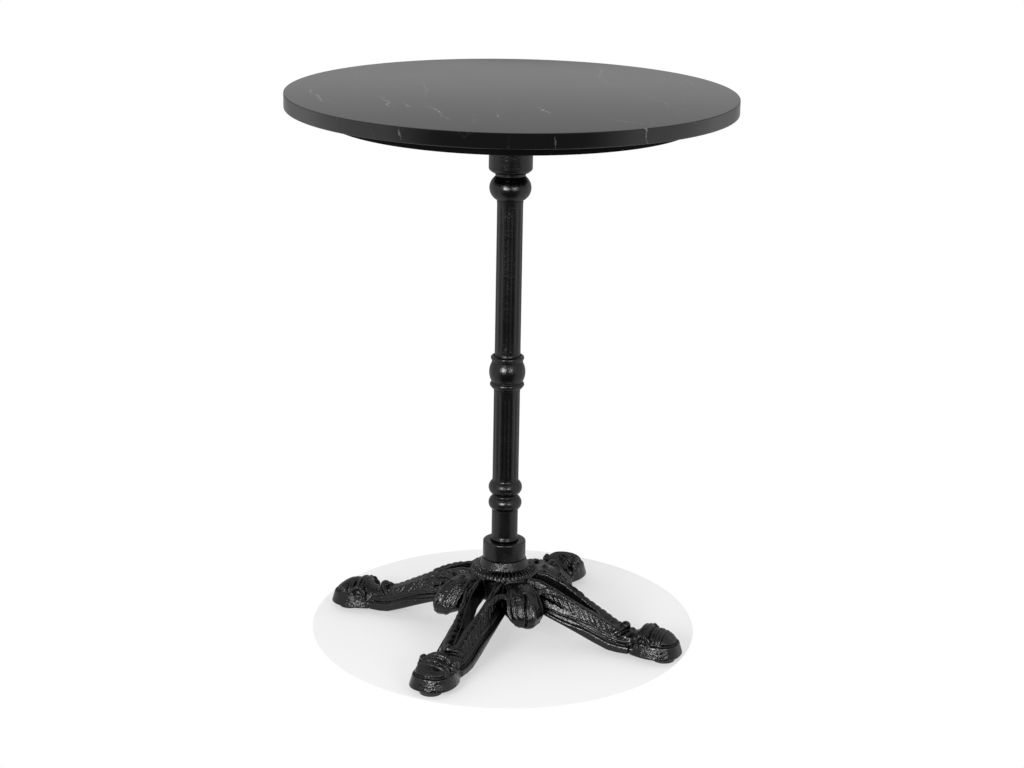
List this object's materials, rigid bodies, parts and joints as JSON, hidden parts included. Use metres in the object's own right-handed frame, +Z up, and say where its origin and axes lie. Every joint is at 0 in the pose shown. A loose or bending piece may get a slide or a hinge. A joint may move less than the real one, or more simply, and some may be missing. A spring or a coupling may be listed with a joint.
{
  "type": "bistro table",
  "caption": "Round bistro table: thin black marble top on a slim turned cast-iron column with splayed, leaf-ornamented legs that end in paw feet on adjustable levelling glides.",
  "frame": {"origin": "on the floor, on the axis of the column", "axes": "+Z up along the column; the four legs point along +X, +Y, -X and -Y"},
  "size_m": [0.6, 0.6, 0.76],
  "materials": {
    "black_marble": "polished black marble with fine white veins",
    "black_board": "black painted fibreboard, satin",
    "black_cast_iron": "black paint over a hammered cast surface, semi-gloss",
    "zinc_steel": "zinc-plated steel, satin",
    "black_plastic": "moulded black plastic, matt"
  },
  "bodies": {
    "table": {"marble_top": "black_marble", "backing_board": "black_board", "top_spider": "black_cast_iron", "spider_screw_1": "zinc_steel", "spider_screw_2": "zinc_steel", "spider_screw_3": "zinc_steel", "spider_screw_4": "zinc_steel", "spider_screw_5": "zinc_steel", "spider_screw_6": "zinc_steel", "spider_screw_7": "zinc_steel", "spider_screw_8": "zinc_steel", "column": "black_cast_iron", "base_collar": "black_cast_iron", "base_casting": "black_cast_iron", "tie_rod": "zinc_steel", "top_nut": "zinc_steel", "top_washer": "zinc_steel", "bottom_washer": "zinc_steel", "bottom_spring_washer": "zinc_steel", "bottom_nut": "zinc_steel"},
    "leveller_1_foot": {"leveller_1_pad": "black_plastic"},
    "leveller_1_screw": {"leveller_1_stud": "zinc_steel"},
    "leveller_2_foot": {"leveller_2_pad": "black_plastic"},
    "leveller_2_screw": {"leveller_2_stud": "zinc_steel"},
    "leveller_3_foot": {"leveller_3_pad": "black_plastic"},
    "leveller_3_screw": {"leveller_3_stud": "zinc_steel"},
    "leveller_4_foot": {"leveller_4_pad": "black_plastic"},
    "leveller_4_screw": {"leveller_4_stud": "zinc_steel"}
  },
  "joints": [
    {"name": "leveller_1_height", "type": "slide", "parent": "table", "child": "leveller_1_foot", "axis": [0, 0, -1], "range_m": [0, 0.008]},
    {"name": "leveller_1_turn", "type": "hinge", "parent": "leveller_1_foot", "child": "leveller_1_screw", "pos_m": [0.239, 0, 0.016], "axis": [0, 0, -1], "range_deg": [0, 2304]},
    {"name": "leveller_2_height", "type": "slide", "parent": "table", "child": "leveller_2_foot", "axis": [0, 0, -1], "range_m": [0, 0.008]},
    {"name": "leveller_2_turn", "type": "hinge", "parent": "leveller_2_foot", "child": "leveller_2_screw", "pos_m": [0, 0.239, 0.016], "axis": [0, 0, -1], "range_deg": [0, 2304]},
    {"name": "leveller_3_height", "type": "slide", "parent": "table", "child": "leveller_3_foot", "axis": [0, 0, -1], "range_m": [0, 0.008]},
    {"name": "leveller_3_turn", "type": "hinge", "parent": "leveller_3_foot", "child": "leveller_3_screw", "pos_m": [-0.239, 0, 0.016], "axis": [0, 0, -1], "range_deg": [0, 2304]},
    {"name": "leveller_4_height", "type": "slide", "parent": "table", "child": "leveller_4_foot", "axis": [0, 0, -1], "range_m": [0, 0.008]},
    {"name": "leveller_4_turn", "type": "hinge", "parent": "leveller_4_foot", "child": "leveller_4_screw", "pos_m": [0, -0.239, 0.016], "axis": [0, 0, -1], "range_deg": [0, 2304]}
  ],
  "couplings": [
    {"joint": "leveller_1_turn", "follows": "leveller_1_height", "rad_per_m": 5026.5},
    {"joint": "leveller_2_turn", "follows": "leveller_2_height", "rad_per_m": 5026.5},
    {"joint": "leveller_3_turn", "follows": "leveller_3_height", "rad_per_m": 5026.5},
    {"joint": "leveller_4_turn", "follows": "leveller_4_height", "rad_per_m": 5026.5}
  ]
}
